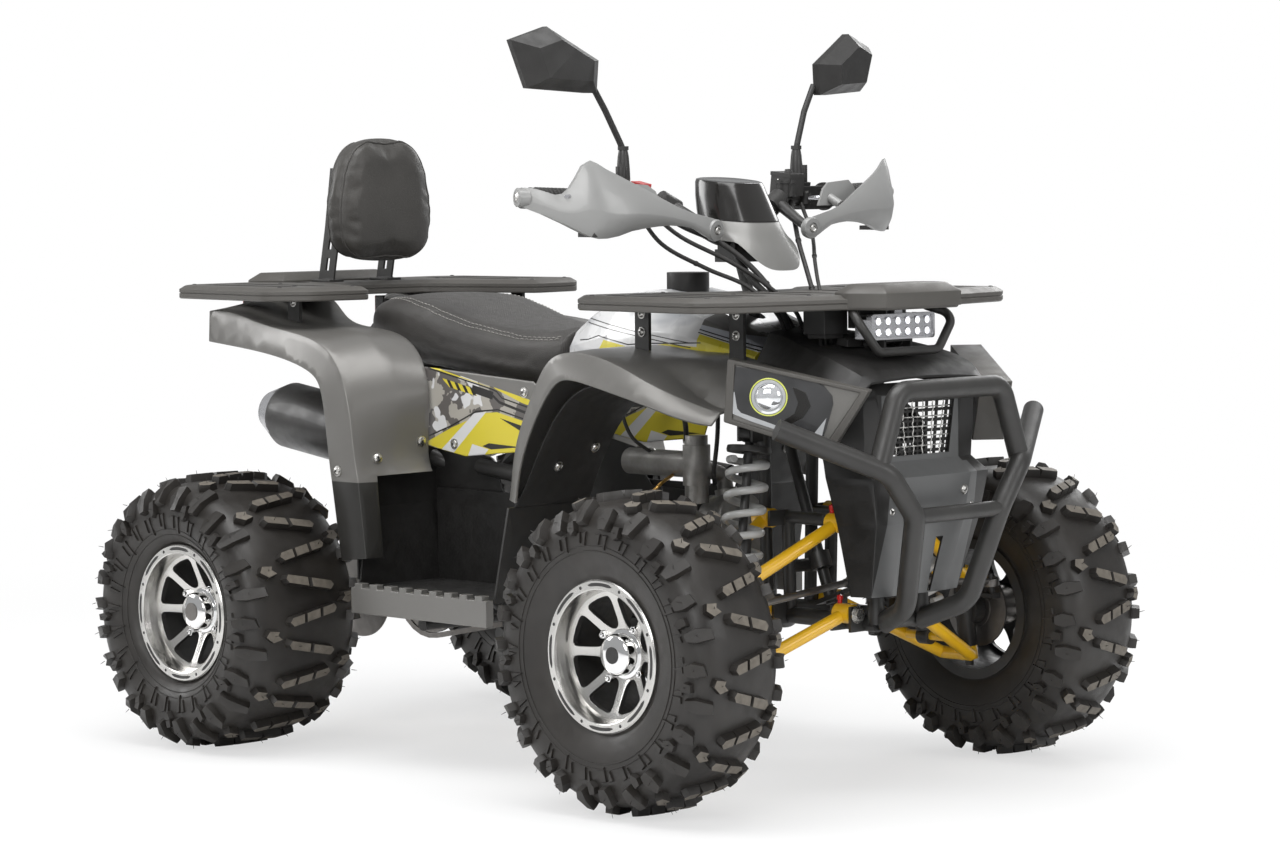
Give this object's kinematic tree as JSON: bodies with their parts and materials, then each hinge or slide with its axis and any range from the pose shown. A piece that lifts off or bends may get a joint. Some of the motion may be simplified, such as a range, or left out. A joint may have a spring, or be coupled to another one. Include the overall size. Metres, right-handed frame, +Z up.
{
  "type": "quad bike",
  "caption": "Small utility quad bike with racks front and rear, padded backrest, tube bumper, hand guards and mirrors; wheels spin and handlebar steers the front wheels.",
  "frame": {"origin": "on the floor below the middle of the whole vehicle", "axes": "+X forward, +Y to the vehicle's left, +Z up"},
  "size_m": [1.5247, 1.007, 1.173],
  "materials": {
    "frame_black": "satin black powder coat",
    "arm_yellow": "gloss yellow paint",
    "spring_grey": "light grey paint",
    "engine_alloy": "cast alloy, dark",
    "rim_alloy": "machined alloy",
    "steel": "plain steel",
    "tyre": "black rubber",
    "body_grey": "gunmetal grey plastic",
    "black_plastic": "black moulded plastic",
    "rack_black": "satin dark plastic",
    "graphic_panel": "white panel with yellow-green and black stripes",
    "guard_grey": "light grey plastic",
    "lens": "smoked lens",
    "lamp_white": "white lamp bar",
    "lamp_red": "red lens",
    "vinyl": "black vinyl with light stitches"
  },
  "bodies": {
    "chassis": {"main_frame": "frame_black", "front_frame": "frame_black", "rear_frame": "frame_black", "drive_chain": "steel", "engine": "engine_alloy", "carburettor": "engine_alloy", "exhaust": "frame_black", "skid_plate": "frame_black", "front_bumper": "frame_black", "nose_panel": "body_grey", "grille": "black_plastic", "front_fenders": "body_grey", "arch_liners": "black_plastic", "foot_boards": "black_plastic", "step_rims": "body_grey", "tank_cover": "graphic_panel", "fuel_cap": "black_plastic", "seat": "vinyl", "side_panels": "graphic_panel", "rear_fenders": "body_grey", "front_rack": "rack_black", "rear_rack": "rack_black", "rack_struts": "frame_black", "backrest_pad": "vinyl", "backrest_bracket": "frame_black", "headlamps": "lens", "lamp_surrounds": "body_grey", "work_lamp": "lamp_white", "suspension_arms": "arm_yellow", "dampers": "frame_black", "springs": "spring_grey", "swing_arm": "arm_yellow", "tail_lamps": "lamp_red"},
    "rear_axle": {"rear_axle": "steel", "rear_rims": "rim_alloy", "rear_tyres": "tyre"},
    "steering": {"steering_column": "frame_black", "handlebar": "frame_black", "bar_cowl": "body_grey", "hand_guards": "guard_grey", "mirrors": "black_plastic", "bar_controls": "black_plastic"},
    "knuckle_right": {"knuckle_right": "frame_black"},
    "knuckle_left": {"knuckle_left": "frame_black"},
    "front_wheel_right": {"front_rim_right": "rim_alloy", "front_tyre_right": "tyre"},
    "front_wheel_left": {"front_rim_left": "rim_alloy", "front_tyre_left": "tyre"},
    "tie_rod_right": {"tie_rod_right": "steel"},
    "tie_rod_left": {"tie_rod_left": "steel"}
  },
  "joints": [
    {"name": "rear_axle_spin", "type": "hinge", "parent": "chassis", "child": "rear_axle", "pos_m": [-0.5295, 0, 0.228], "axis": [0, 1, 0], "continuous": true},
    {"name": "steering_turn", "type": "hinge", "parent": "chassis", "child": "steering", "pos_m": [0.29773, 0, 0.821], "axis": [-0.342, 0, 0.9397], "range_deg": [-35, 35]},
    {"name": "knuckle_turn_right", "type": "hinge", "parent": "chassis", "child": "knuckle_right", "pos_m": [0.4855, -0.335, 0.172], "axis": [0, 0.1317, 0.9913], "range_deg": [-35, 35]},
    {"name": "knuckle_turn_left", "type": "hinge", "parent": "chassis", "child": "knuckle_left", "pos_m": [0.4855, 0.335, 0.172], "axis": [0, -0.1317, 0.9913], "range_deg": [-35, 35]},
    {"name": "wheel_spin_right", "type": "hinge", "parent": "knuckle_right", "child": "front_wheel_right", "pos_m": [0.4855, -0.4145, 0.241], "axis": [0, 1, 0], "continuous": true},
    {"name": "wheel_spin_left", "type": "hinge", "parent": "knuckle_left", "child": "front_wheel_left", "pos_m": [0.4855, 0.4145, 0.241], "axis": [0, 1, 0], "continuous": true},
    {"name": "tie_rod_pivot_right", "type": "hinge", "parent": "steering", "child": "tie_rod_right", "pos_m": [0.54548, -0.012, 0.31573], "axis": [-0.342, 0, 0.9397], "range_deg": [-36.4, 36.4]},
    {"name": "tie_rod_pivot_left", "type": "hinge", "parent": "steering", "child": "tie_rod_left", "pos_m": [0.54548, 0.012, 0.31573], "axis": [-0.342, 0, 0.9397], "range_deg": [-36.4, 36.4]}
  ],
  "couplings": [
    {"joint": "knuckle_turn_right", "follows": "steering_turn", "ratio": 1},
    {"joint": "knuckle_turn_left", "follows": "steering_turn", "ratio": 1},
    {"joint": "tie_rod_pivot_right", "follows": "steering_turn", "ratio": -1.0389},
    {"joint": "tie_rod_pivot_left", "follows": "steering_turn", "ratio": -1.0389}
  ]
}
